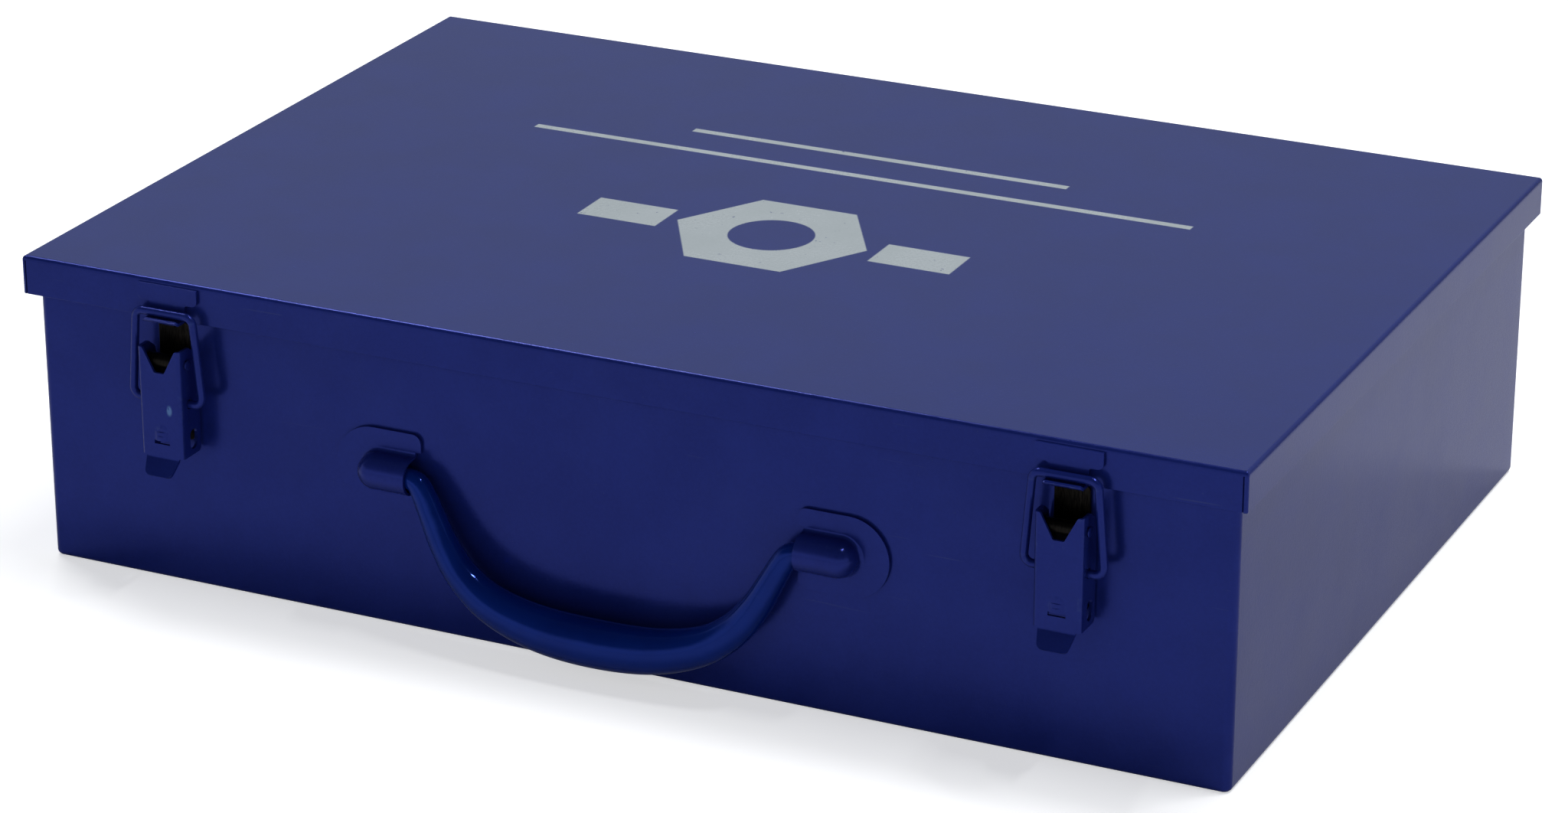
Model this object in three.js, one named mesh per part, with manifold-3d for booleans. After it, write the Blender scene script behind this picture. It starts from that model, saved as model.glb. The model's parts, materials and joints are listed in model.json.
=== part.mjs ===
// A flat steel tool case: a tray with an overlapping lid, two toggle latches and a bow handle on the
// front, and two hinges at the rear. Millimetres, +Z up. The front faces -Y, and the origin is the
// middle of the underside. "Out" is a distance from the tray's front or rear wall, away from the case.

import * as THREE from "three";
import { mergeVertices } from "three/addons/utils/BufferGeometryUtils.js";
import Module from "manifold-3d";

const wasm = await Module();
wasm.setup();

// Tray and lid
const lidWidth = 440;
const lidDepth = 297;
const totalHeight = 111;
const sheet = 1;
const skirtDrop = 13.6;
const overhang = 3.7;
const fitGap = 0.3; // left between pieces that rest on each other
const trayWidth = lidWidth - 2 * overhang;
const trayDepth = lidDepth - 2 * overhang;
const trayHeight = totalHeight - sheet - fitGap;
const trayCorner = 3;
const trayBend = 2;
const rimWidth = 8;
const lidBend = 1.5;
const seamWidth = 0.5;
const skirtBottom = totalHeight - skirtDrop;

// Toggle latches: pivots are [out, z] points, seen from the side
const latchOffset = 162;
const leverWidth = 16.5;
const leverFace = 12; // out of the lever's front face
const leverTop = 89.5;
const leverBottom = 51;
const notchBottom = 81;
const leverPivot = [7.9, 84];
const bailPivot = [7, 69.6];
const bailTop = [7.2, 100.8];
const bailWire = 1.4;
const bailHalfTop = 10.9;
const bailHalfFoot = 13.6;
const bailBend = 3;
const latchPin = 1.2;
const baseWidth = 12;
const baseBottom = 54;
const baseTop = 96;
const baseKnee = 73; // where its arm leaves the plate for the barrel
const barrelRadius = 2.6;
const baseRivets = [60, 68];
// The lever's side flange: [out, z] from its lower front corner round to the rear
const flangePoints = [
  [leverFace, leverBottom],
  [leverFace, leverTop],
  [6, leverTop],
  [2.4, 86.6],
  [1.2, 83],
  [0.9, 72],
  [0.9, 51.8],
  [1.7, leverBottom],
];
const flangeSlot = { outFrom: 3.2, outTo: 7.4, bottom: 53, top: 60, corner: 1.8 };
const notchHalfWidths = [1.9, 6.3]; // at its bottom and at the lever's top
const snap = { half: 3, bottom: 56.8, top: 60, raised: 0.4, slotHeight: 1.4, corner: 0.5 };
const tab = { topHalf: 6.4, bottomHalf: 5, bottom: 45.2, reach: 4, corner: 1.8 };

// Keeper: a plate on the skirt whose tongue turns out and up under the wire
const keeperWidth = 23;
const keeperTop = 109.6;
const keeperBottom = 103.8;
const tongueWidth = 13.5;
const lipTop = 99.1;
const lipOut = 9.4;
const lipRise = 0.3; // of the lip above the trough's floor
const tongueBend = 1.6;
const keeperCorner = 1.8;

// Handle and its sockets
const socketHeight = 57;
const hoodRadius = 6.3;
const hoodStand = 4; // out of the hood's centre line
const hoodSheet = 1;
const hoodInner = 70.6;
const hoodOuter = 90.4;
const plateInner = 68.5;
const plateOuter = 100.5;
const plateRadius = 14;
const plateHeight = 57;
const plateCorner = 4;
const handlePivot = [5.4, socketHeight];
const handleLean = 7; // degrees from straight down
const rodRadius = 3.3;
const gripRadius = 8.2;
const gripTaper = 104; // half a cosine wave, from the middle outwards
const gripEnd = 74;
// Half of the bow: [distance from the middle, drop below the pivot]
const bowPoints = [
  [84.3, 0],
  [78, 0],
  [71, 0],
  [67.6, 1.2],
  [65.2, 4.5],
  [62.2, 10.2],
  [56.8, 20.3],
  [50, 29.2],
  [40, 36.6],
  [23, 42],
  [0, 43.7],
];

// Rear hinges
const hingeOffset = 140;
const hingeWidth = 60;
const hingeAxis = [7, 94.5];
const hingeSheet = 1.2;
const hingePin = 1.5;
const hingeBarrel = 3;
const knuckleWidth = 22;
const knuckleGap = 0.5;
const leafFoot = 64;
const leafTop = 96.6;
const flagBottom = 97.8;
const flagTop = 109;
const stopHeel = 5.2;
const stopAngle = 20; // of the heel from straight down, with the lid shut
const leafKnee = 85.5;
const leafRivet = 19;
const lidRivetHeight = 104.5;
const trayRivetHeight = 72;

// Rivets
const rivetShank = 1.5;
const rivetHead = 2.8;
const rivetHeadHeight = 0.8;
const rivetTail = 2.24;
const pinHead = 0.5; // how far a pin's head stands out round it
const pinEnd = 0.4; // how far a pin stands out of its knuckles

// Finishes
const paint = { color: 0x1d2a5c, roughness: 0.45, metalness: 0.1 };
const gloss = { color: 0x0b1a55, roughness: 0.15, metalness: 0 };
const darkSteel = { color: 0x35322f, roughness: 0.4, metalness: 0.9 };
const brightSteel = { color: 0x9a9aa0, roughness: 0.3, metalness: 1 };

const vector = (x, y, z) => new THREE.Vector3(x, y, z);

function solidOf(geometry) {
  const bare = geometry.index ? geometry.toNonIndexed() : geometry.clone();
  bare.deleteAttribute("normal");
  bare.deleteAttribute("uv");
  const merged = mergeVertices(bare, 1e-4);
  return new wasm.Manifold(
    new wasm.Mesh({
      numProp: 3,
      vertProperties: merged.attributes.position.array,
      triVerts: Uint32Array.from(merged.index.array),
    }),
  );
}

function join(...geometries) {
  return geometries.map(solidOf).reduce((whole, piece) => whole.add(piece));
}

function cut(solid, ...geometries) {
  return geometries.map(solidOf).reduce((whole, tool) => whole.subtract(tool), solid);
}

function meshOf(name, solid, finish) {
  const { vertProperties, triVerts } = solid.getMesh();
  const geometry = new THREE.BufferGeometry();
  geometry.setAttribute("position", new THREE.BufferAttribute(vertProperties, 3));
  geometry.setIndex(new THREE.BufferAttribute(triVerts, 1));
  geometry.computeVertexNormals();
  const mesh = new THREE.Mesh(geometry, new THREE.MeshStandardMaterial(finish));
  mesh.name = name;
  return mesh;
}

function block(x0, x1, y0, y1, z0, z1) {
  const box = new THREE.BoxGeometry(x1 - x0, y1 - y0, z1 - z0);
  return box.translate((x0 + x1) / 2, (y0 + y1) / 2, (z0 + z1) / 2);
}

function outline(points) {
  return new THREE.Shape(points.map(([x, y]) => new THREE.Vector2(x, y)));
}

function rectangle(x0, x1, y0, y1) {
  return outline([
    [x0, y0],
    [x1, y0],
    [x1, y1],
    [x0, y1],
  ]);
}

function roundedRectangle(x0, x1, y0, y1, radius) {
  const shape = new THREE.Shape();
  shape.moveTo(x0 + radius, y0);
  shape.lineTo(x1 - radius, y0);
  shape.absarc(x1 - radius, y0 + radius, radius, -Math.PI / 2, 0);
  shape.lineTo(x1, y1 - radius);
  shape.absarc(x1 - radius, y1 - radius, radius, 0, Math.PI / 2);
  shape.lineTo(x0 + radius, y1);
  shape.absarc(x0 + radius, y1 - radius, radius, Math.PI / 2, Math.PI);
  shape.lineTo(x0, y0 + radius);
  shape.absarc(x0 + radius, y0 + radius, radius, Math.PI, 1.5 * Math.PI);
  return shape;
}

function circle(x, y, radius) {
  const shape = new THREE.Shape();
  shape.absarc(x, y, radius, 0, 2 * Math.PI);
  return shape;
}

function extrude(shape, depth, curveSegments = 6) {
  return new THREE.ExtrudeGeometry(shape, { depth, bevelEnabled: false, curveSegments });
}

// A shape drawn in [x, z], standing on the front (side -1) or rear (side 1) wall from one out to another.
function onWall(shape, from, to, side = -1, curveSegments = 6) {
  const turned = extrude(shape, to - from, curveSegments).rotateX(Math.PI / 2);
  return turned.translate(0, side < 0 ? -trayDepth / 2 - from : trayDepth / 2 + to, 0);
}

// A shape drawn in [out, z], carried across a width along X and centred on x = middle.
function across(shape, width, middle = 0, side = -1, curveSegments = 6) {
  const basis = new THREE.Matrix4().makeBasis(
    vector(0, side, 0),
    vector(0, 0, 1),
    vector(side, 0, 0),
  );
  const turned = extrude(shape, width, curveSegments).applyMatrix4(basis);
  return turned.translate(middle - (side * width) / 2, (side * trayDepth) / 2, 0);
}

// A rectangle [out, z] strip of a given thickness between two points, for bent sheet seen edge on.
function strip([out0, z0], [out1, z1], thickness) {
  const scale = thickness / 2 / Math.hypot(out1 - out0, z1 - z0);
  const asideOut = (z0 - z1) * scale;
  const asideZ = (out1 - out0) * scale;
  return outline([
    [out0 - asideOut, z0 - asideZ],
    [out1 - asideOut, z1 - asideZ],
    [out1 + asideOut, z1 + asideZ],
    [out0 + asideOut, z0 + asideZ],
  ]);
}

// A round bar along X, between two ends.
function pinAlongX([out, z], radius, x0, x1, side = -1) {
  const rod = new THREE.CylinderGeometry(radius, radius, x1 - x0, 16).rotateZ(Math.PI / 2);
  return rod.translate((x0 + x1) / 2, side * (trayDepth / 2 + out), z);
}

// A rivet through sheet: a domed head outside, a shank, and a flat head inside.
function rivet(name, x, z, side, outer, inner) {
  const profile = [
    [0, inner - rivetHeadHeight],
    [rivetTail, inner - rivetHeadHeight],
    [rivetTail, inner],
    [rivetShank, inner],
    [rivetShank, outer],
    [rivetHead, outer],
    [rivetHead * 0.75, outer + rivetHeadHeight * 0.75],
    [0, outer + rivetHeadHeight],
  ].map(([radius, height]) => new THREE.Vector2(radius, height));
  const turned = new THREE.LatheGeometry(profile, 12).rotateX(side < 0 ? Math.PI : 0);
  const placed = turned.translate(x, (side * trayDepth) / 2, z);
  return meshOf(name, solidOf(placed), brightSteel);
}

function rivetHole(x, z, side, from, to) {
  return onWall(circle(x, z, rivetShank + fitGap), from, to, side);
}

function prism(width, depth, bottom, top, corner, bend) {
  const shape = roundedRectangle(
    -width / 2 + bend,
    width / 2 - bend,
    -depth / 2 + bend,
    depth / 2 - bend,
    Math.max(corner - bend, 0.5),
  );
  const full = new THREE.ExtrudeGeometry(shape, {
    depth: top - bottom,
    bevelEnabled: true,
    bevelThickness: bend,
    bevelSize: bend,
    bevelSegments: 3,
    curveSegments: 4,
  });
  return full.translate(0, 0, bottom + bend);
}

function tray() {
  const margin = 50;
  const outside = cut(
    solidOf(prism(trayWidth, trayDepth, 0, trayHeight + margin, trayCorner, trayBend)),
    block(-lidWidth, lidWidth, -lidDepth, lidDepth, trayHeight, trayHeight + 2 * margin),
  );
  const innerWidth = trayWidth - 2 * sheet;
  const innerDepth = trayDepth - 2 * sheet;
  const hollow = cut(
    solidOf(prism(innerWidth, innerDepth, sheet, trayHeight, trayCorner - sheet, trayBend - sheet)),
    block(-lidWidth, lidWidth, -lidDepth, lidDepth, trayHeight - sheet, trayHeight + margin),
  );
  const halfMouth = [innerWidth / 2 - rimWidth, innerDepth / 2 - rimWidth];
  const mouth = extrude(
    roundedRectangle(-halfMouth[0], halfMouth[0], -halfMouth[1], halfMouth[1], trayCorner),
    margin,
  ).translate(0, 0, trayHeight - margin / 2);
  const holes = [];
  for (const end of [-1, 1]) {
    for (const z of baseRivets) {
      holes.push(rivetHole(end * latchOffset, z, -1, -2 * sheet, sheet));
    }
    for (const step of [-leafRivet, leafRivet]) {
      holes.push(rivetHole(end * hingeOffset + step, trayRivetHeight, 1, -2 * sheet, sheet));
    }
  }
  return meshOf("case_tray", cut(outside.subtract(hollow), mouth, ...holes), paint);
}

function lid() {
  const margin = 50;
  const outside = cut(
    solidOf(prism(lidWidth, lidDepth, skirtBottom - margin, totalHeight - 2 * lidBend, 2, lidBend)),
    block(-lidWidth, lidWidth, -lidDepth, lidDepth, skirtBottom - 2 * margin, skirtBottom),
  );
  const inside = block(
    -lidWidth / 2 + sheet,
    lidWidth / 2 - sheet,
    -lidDepth / 2 + sheet,
    lidDepth / 2 - sheet,
    skirtBottom - margin,
    totalHeight - sheet,
  );
  // The front and rear skirts butt against the side skirts' edges.
  const seams = [];
  for (const end of [-1, 1]) {
    for (const side of [-1, 1]) {
      const x = end * (lidWidth / 2 - sheet - seamWidth);
      const y = side * (lidDepth / 2);
      const bottom = skirtBottom - 1;
      const top = totalHeight - lidBend;
      seams.push(block(x - seamWidth / 2, x + seamWidth / 2, y - 2, y + 2, bottom, top));
    }
  }
  const holes = [];
  for (const end of [-1, 1]) {
    for (const step of [-leafRivet, leafRivet]) {
      const x = end * hingeOffset + step;
      holes.push(rivetHole(x, lidRivetHeight, 1, overhang - 2 * sheet, overhang + sheet));
    }
  }
  return meshOf("lid_pan", cut(outside, inside, ...seams, ...holes), paint);
}

// A slab that leans out from the lever's foot, cut to the tab's outline.
function fingerTab() {
  const middle = leverFace - sheet / 2;
  const top = leverBottom + fitGap;
  const lean = strip([middle, top], [middle + tab.reach, tab.bottom], sheet);
  const slab = solidOf(across(lean, 2 * tab.topHalf));
  const { topHalf, bottomHalf, corner, bottom } = tab;
  const shape = outline([
    [-topHalf, top + sheet],
    [-topHalf, leverBottom],
    [-bottomHalf - 0.3, bottom + corner],
    [-bottomHalf + corner, bottom - sheet],
    [bottomHalf - corner, bottom - sheet],
    [bottomHalf + 0.3, bottom + corner],
    [topHalf, leverBottom],
    [topHalf, top + sheet],
  ]);
  return slab.intersect(solidOf(onWall(shape, 0, leverFace + 2 * tab.reach)));
}

function lever(name) {
  const half = leverWidth / 2;
  const beyond = 9;
  const channel = across(
    outline([
      [leverFace - sheet, leverBottom - beyond],
      [leverFace - sheet, leverTop + beyond],
      [-sheet, leverTop + beyond],
      [-sheet, leverBottom - beyond],
    ]),
    leverWidth - 2 * sheet,
  );
  const [narrow, wide] = notchHalfWidths;
  const notch = outline([
    [-narrow, notchBottom],
    [narrow, notchBottom],
    [wide, leverTop],
    [wide, leverTop + beyond],
    [-wide, leverTop + beyond],
    [-wide, leverTop],
  ]);
  const { outFrom, outTo, bottom, top, corner } = flangeSlot;
  const slot = roundedRectangle(outFrom, outTo, bottom, top, corner);
  const openings = [
    onWall(notch, leverFace - 2 * sheet, leverFace + sheet),
    pinAlongX(leverPivot, latchPin + fitGap, -half - sheet, half + sheet),
    pinAlongX(bailPivot, bailWire + fitGap, -half - sheet, half + sheet),
    across(slot, leverWidth + 2 * sheet, 0, -1, 4),
    onWall(
      roundedRectangle(-snap.half, snap.half, snap.bottom - snap.slotHeight, snap.bottom, snap.corner),
      leverFace - 2 * sheet,
      leverFace + sheet,
    ),
  ];
  const dome = new THREE.Shape();
  dome.moveTo(-snap.half, snap.bottom + fitGap);
  dome.lineTo(snap.half, snap.bottom + fitGap);
  dome.lineTo(snap.half, snap.top);
  dome.absarc(0, snap.top, snap.half, 0, Math.PI);
  const raised = onWall(dome, leverFace - snap.raised, leverFace + snap.raised);
  const body = cut(solidOf(across(outline(flangePoints), leverWidth)), channel, ...openings);
  return meshOf(name, body.add(fingerTab()).add(solidOf(raised)), paint);
}

function bail(name) {
  const rest = ([out, z], x) => vector(x, -trayDepth / 2 - out, z);
  const footX = bailHalfFoot;
  const endX = leverWidth / 2 - 1.8 * sheet;
  const leg = rest(bailTop, bailHalfTop).sub(rest(bailPivot, footX)).normalize();
  const path = new THREE.CurvePath();
  const half = (side) => {
    const mirror = (p) => vector(side * p.x, p.y, p.z);
    const end = rest(bailPivot, endX);
    const foot = rest(bailPivot, footX);
    const top = rest(bailTop, bailHalfTop);
    return [
      end,
      foot.clone().add(vector(-bailBend, 0, 0)),
      foot,
      foot.clone().addScaledVector(leg, bailBend),
      top.clone().addScaledVector(leg, -bailBend),
      top,
      top.clone().add(vector(-bailBend, 0, 0)),
    ].map(mirror);
  };
  const right = half(1);
  const left = half(-1).reverse();
  const corner = (a, b, c) => path.add(new THREE.QuadraticBezierCurve3(a, b, c));
  const straight = (a, b) => path.add(new THREE.LineCurve3(a, b));
  straight(right[0], right[1]);
  corner(right[1], right[2], right[3]);
  straight(right[3], right[4]);
  corner(right[4], right[5], right[6]);
  straight(right[6], left[0]);
  corner(left[0], left[1], left[2]);
  straight(left[2], left[3]);
  corner(left[3], left[4], left[5]);
  straight(left[5], left[6]);
  const wire = new THREE.ExtrudeGeometry(circle(0, 0, bailWire), {
    extrudePath: path,
    steps: 48,
    curveSegments: 5,
    bevelEnabled: false,
  });
  return meshOf(name, solidOf(wire), paint);
}

function latchBase(name) {
  const [pivotOut, pivotZ] = leverPivot;
  const plate = onWall(
    roundedRectangle(-baseWidth / 2, baseWidth / 2, baseBottom, baseTop, sheet),
    fitGap,
    fitGap + sheet,
  );
  const knee = [fitGap + sheet / 2, baseKnee];
  const arm = across(strip(knee, [pivotOut - 0.6, pivotZ - 1.6], sheet), baseWidth);
  const barrel = across(circle(pivotOut, pivotZ, barrelRadius), baseWidth);
  const bore = pinAlongX(leverPivot, latchPin + fitGap, -baseWidth, baseWidth);
  const holes = baseRivets.map((z) => rivetHole(0, z, -1, -sheet, 4 * sheet));
  return meshOf(name, cut(join(plate, arm, barrel), bore, ...holes), darkSteel);
}

function keeper(name) {
  const inner = overhang + fitGap;
  const outer = inner + sheet;
  const half = keeperWidth / 2;
  const plate = onWall(
    roundedRectangle(-half, half, keeperBottom, keeperTop, keeperCorner),
    inner,
    outer,
  );
  const under = lipTop - lipRise - sheet;
  const floor = under + sheet;
  const root = keeperBottom + keeperCorner;
  const fillet = 0.6;
  const tongue = new THREE.Shape();
  tongue.moveTo(inner, root);
  tongue.lineTo(inner, under + tongueBend);
  tongue.quadraticCurveTo(inner, under, inner + tongueBend, under);
  tongue.lineTo(lipOut, under);
  tongue.quadraticCurveTo(lipOut + sheet, under, lipOut + sheet, lipTop);
  tongue.lineTo(lipOut, lipTop);
  tongue.lineTo(lipOut - lipRise, floor);
  tongue.lineTo(outer + fillet, floor);
  tongue.lineTo(outer, floor + fillet);
  tongue.lineTo(outer, root);
  return meshOf(name, join(plate, across(tongue, tongueWidth, 0, -1, 4)), paint);
}

// A pin through its knuckles, with a head at its right end.
function headedPin(name, pivot, radius, halfLength, finish, side = -1) {
  const half = halfLength + pinEnd;
  const shank = pinAlongX(pivot, radius, -half, half + pinHead, side);
  const head = pinAlongX(pivot, radius + pinHead, half, half + pinHead, side);
  return meshOf(name, join(shank, head), finish);
}

function latch(end, side) {
  const group = new THREE.Group();
  group.position.x = end * latchOffset;
  group.add(
    lever(side + "_latch_lever"),
    bail(side + "_latch_bail"),
    latchBase(side + "_latch_base"),
    headedPin(side + "_latch_pin", leverPivot, latchPin, leverWidth / 2, paint),
    keeper(side + "_keeper"),
  );
  baseRivets.forEach((z, index) => {
    const name = side + "_latch_rivet_" + (index + 1);
    group.add(rivet(name, 0, z, -1, 2 * fitGap + sheet, -sheet - fitGap));
  });
  return group;
}

function hood(end, radius, from, back) {
  const centre = hoodOuter - hoodRadius;
  const near = end * centre;
  const arch = new THREE.Shape();
  arch.moveTo(back, socketHeight - radius);
  arch.lineTo(hoodStand, socketHeight - radius);
  arch.absarc(hoodStand, socketHeight, radius, -Math.PI / 2, Math.PI / 2);
  arch.lineTo(back, socketHeight + radius);
  const length = centre - from;
  const barrel = across(arch, length, (end * (centre + from)) / 2, -1, 10);
  const y = -trayDepth / 2 - hoodStand;
  const dome = new THREE.SphereGeometry(radius, 20, 14).rotateZ(Math.PI / 2);
  dome.translate(near, y, socketHeight);
  const neck = onWall(circle(near, socketHeight, radius), back, hoodStand, -1, 10);
  return join(barrel, dome, neck);
}

function socket(end, side) {
  const plate = new THREE.Shape();
  const corner = plateCorner;
  const top = plateHeight + plateRadius;
  const bottom = plateHeight - plateRadius;
  const bend = plateOuter - plateRadius;
  plate.moveTo(plateInner + corner, bottom);
  plate.lineTo(bend, bottom);
  plate.absarc(bend, plateHeight, plateRadius, -Math.PI / 2, Math.PI / 2);
  plate.lineTo(plateInner + corner, top);
  plate.absarc(plateInner + corner, top - corner, corner, Math.PI / 2, Math.PI);
  plate.absarc(plateInner + corner, bottom + corner, corner, Math.PI, 1.5 * Math.PI);
  const flat = onWall(plate, fitGap, fitGap + sheet, -1, 8);
  if (end < 0) {
    flat.rotateZ(Math.PI).translate(0, -trayDepth - 2 * fitGap - sheet, 0);
  }
  const outer = solidOf(flat).add(hood(end, hoodRadius, hoodInner, fitGap));
  const shell = outer.subtract(hood(end, hoodRadius - hoodSheet, hoodInner - 5, -1));
  const behind = block(-lidWidth, lidWidth, -trayDepth / 2 - fitGap, 0, 0, totalHeight);
  return meshOf(side + "_handle_socket", cut(shell, behind), paint);
}

function bowCurve() {
  const drop = THREE.MathUtils.DEG2RAD * handleLean;
  const place = ([x, fall]) =>
    vector(
      x,
      -trayDepth / 2 - handlePivot[0] - fall * Math.sin(drop),
      handlePivot[1] - fall * Math.cos(drop),
    );
  const right = bowPoints.map(place);
  const left = bowPoints.slice(0, -1).map(([x, fall]) => place([-x, fall]));
  return new THREE.CatmullRomCurve3([...left, ...right.reverse()], false, "centripetal");
}

// A turned spindle whose length is bent along the bow, so that its thickness can change on the way.
function handle() {
  const curve = bowCurve();
  const lean = THREE.MathUtils.DEG2RAD * handleLean;
  const flat = vector(0, -Math.cos(lean), Math.sin(lean));
  const steps = 56;
  const thickness = (u) => {
    const away = Math.abs(curve.getPointAt(u).x);
    const swell = 0.5 + 0.5 * Math.cos((Math.PI * away) / gripTaper);
    return rodRadius + (gripRadius - rodRadius) * swell * (1 - Math.min(away / gripEnd, 1) ** 6);
  };
  const profile = [new THREE.Vector2(0, 0)];
  for (let i = 0; i <= steps; i++) {
    profile.push(new THREE.Vector2(thickness(i / steps), i / steps));
  }
  profile.push(new THREE.Vector2(0, 1));
  const spindle = new THREE.LatheGeometry(profile, 14);
  const position = spindle.attributes.position;
  for (let i = 0; i < position.count; i++) {
    const u = THREE.MathUtils.clamp(position.getY(i), 0, 1);
    const along = curve.getTangentAt(u);
    const sideways = along.clone().cross(flat);
    const point = curve.getPointAt(u);
    point.addScaledVector(sideways, position.getX(i));
    point.addScaledVector(flat, position.getZ(i));
    position.setXYZ(i, point.x, point.y, point.z);
  }
  return meshOf("carry_handle", solidOf(spindle), gloss);
}

function trayLeaf(name) {
  const [axisOut, axisZ] = hingeAxis;
  const half = hingeWidth / 2;
  const face = fitGap + hingeSheet;
  const plate = onWall(rectangle(-half, half, leafFoot, leafTop), fitGap, face, 1);
  const knuckle = (hingeWidth - knuckleWidth) / 2 - knuckleGap;
  const pieces = [plate];
  for (const way of [-1, 1]) {
    const middle = way * (half - knuckle / 2);
    const knee = [face - hingeSheet / 2, leafKnee];
    const foot = [axisOut - hingeSheet / 3, axisZ - hingeBarrel + hingeSheet / 2];
    pieces.push(across(strip(knee, foot, hingeSheet), knuckle, middle, 1));
    pieces.push(across(circle(axisOut, axisZ, hingeBarrel), knuckle, middle, 1, 8));
  }
  const bore = pinAlongX(hingeAxis, hingePin + fitGap, -hingeWidth, hingeWidth, 1);
  const holes = [-leafRivet, leafRivet].map((x) =>
    rivetHole(x, trayRivetHeight, 1, -sheet, 4 * sheet),
  );
  return meshOf(name, cut(join(...pieces), bore, ...holes), paint);
}

function lidLeaf(name) {
  const [axisOut, axisZ] = hingeAxis;
  const inner = axisOut - hingeBarrel;
  const face = inner + hingeSheet;
  const half = hingeWidth / 2;
  const tongue = onWall(
    rectangle(-knuckleWidth / 2, knuckleWidth / 2, axisZ, flagBottom + sheet),
    inner,
    face,
    1,
  );
  const flag = onWall(rectangle(-half, half, flagBottom, flagTop), inner, face, 1);
  const barrel = across(circle(axisOut, axisZ, hingeBarrel), knuckleWidth, 0, 1, 8);
  // The heel meets the tray's leaf when the lid is fully open.
  const stop = THREE.MathUtils.DEG2RAD * stopAngle;
  const along = (reach) => [axisOut + reach * Math.sin(stop), axisZ - reach * Math.cos(stop)];
  const heel = across(strip(along(hingeBarrel - sheet), along(stopHeel), hingeSheet), knuckleWidth, 0, 1);
  const bore = pinAlongX(hingeAxis, hingePin + fitGap, -hingeWidth, hingeWidth, 1);
  const holes = [-leafRivet, leafRivet].map((x) =>
    rivetHole(x, lidRivetHeight, 1, sheet, inner + 4 * sheet),
  );
  return meshOf(name, cut(join(tongue, flag, barrel, heel), bore, ...holes), paint);
}

function hinge(end, side) {
  const group = new THREE.Group();
  group.position.x = end * hingeOffset;
  group.add(
    trayLeaf(side + "_hinge_tray_leaf"),
    lidLeaf(side + "_hinge_lid_leaf"),
    headedPin(side + "_hinge_pin", hingeAxis, hingePin, hingeWidth / 2, brightSteel, 1),
  );
  [-leafRivet, leafRivet].forEach((x, index) => {
    const number = index + 1;
    const trayOut = fitGap + hingeSheet + fitGap;
    const lidOut = hingeAxis[0] - hingeBarrel + hingeSheet + fitGap;
    const lidIn = overhang - sheet - fitGap;
    group.add(
      rivet(side + "_hinge_tray_rivet_" + number, x, trayRivetHeight, 1, trayOut, -sheet - fitGap),
      rivet(side + "_hinge_lid_rivet_" + number, x, lidRivetHeight, 1, lidOut, lidIn),
    );
  });
  return group;
}

const toolCase = new THREE.Group();
toolCase.add(tray(), lid(), handle());
for (const [end, side] of [
  [-1, "left"],
  [1, "right"],
]) {
  toolCase.add(socket(end, side), latch(end, side), hinge(end, side));
}

export default toolCase;
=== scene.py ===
import json
import math

import bmesh
import bpy
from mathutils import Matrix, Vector
from mathutils.geometry import delaunay_2d_cdt


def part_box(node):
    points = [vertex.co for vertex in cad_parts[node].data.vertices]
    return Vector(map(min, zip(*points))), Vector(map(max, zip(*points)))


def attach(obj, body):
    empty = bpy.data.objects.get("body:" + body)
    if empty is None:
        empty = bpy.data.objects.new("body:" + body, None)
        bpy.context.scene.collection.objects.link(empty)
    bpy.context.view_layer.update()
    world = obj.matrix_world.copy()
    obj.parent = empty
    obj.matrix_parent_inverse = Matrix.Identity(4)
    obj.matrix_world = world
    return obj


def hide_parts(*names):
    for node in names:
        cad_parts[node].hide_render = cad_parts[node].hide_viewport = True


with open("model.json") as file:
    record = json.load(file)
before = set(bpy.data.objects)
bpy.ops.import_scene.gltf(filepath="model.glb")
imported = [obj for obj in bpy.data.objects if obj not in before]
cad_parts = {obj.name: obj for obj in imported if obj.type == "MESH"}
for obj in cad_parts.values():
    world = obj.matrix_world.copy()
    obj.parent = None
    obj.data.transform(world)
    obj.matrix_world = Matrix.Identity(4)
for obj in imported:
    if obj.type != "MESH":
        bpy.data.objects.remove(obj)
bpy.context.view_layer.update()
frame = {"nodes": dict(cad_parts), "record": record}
scene = bpy.context.scene
nodes = frame["nodes"]
mm = 0.001
sides = {"left": -1, "right": 1}
bodies = frame["record"]["behaviour"]["bodies"]


def spanOf(name):
    # a CAD node's box in millimetres
    low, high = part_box(name)
    return low / mm, high / mm


trayLow, trayHigh = spanOf("case_tray")
lidLow, lidHigh = spanOf("lid_pan")
frontWall = trayLow.y
rearWall = trayHigh.y


def middleOf(name):
    low, high = spanOf(name)
    return (low + high) / 2


print("frame loaded:", len(nodes), "nodes")


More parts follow.
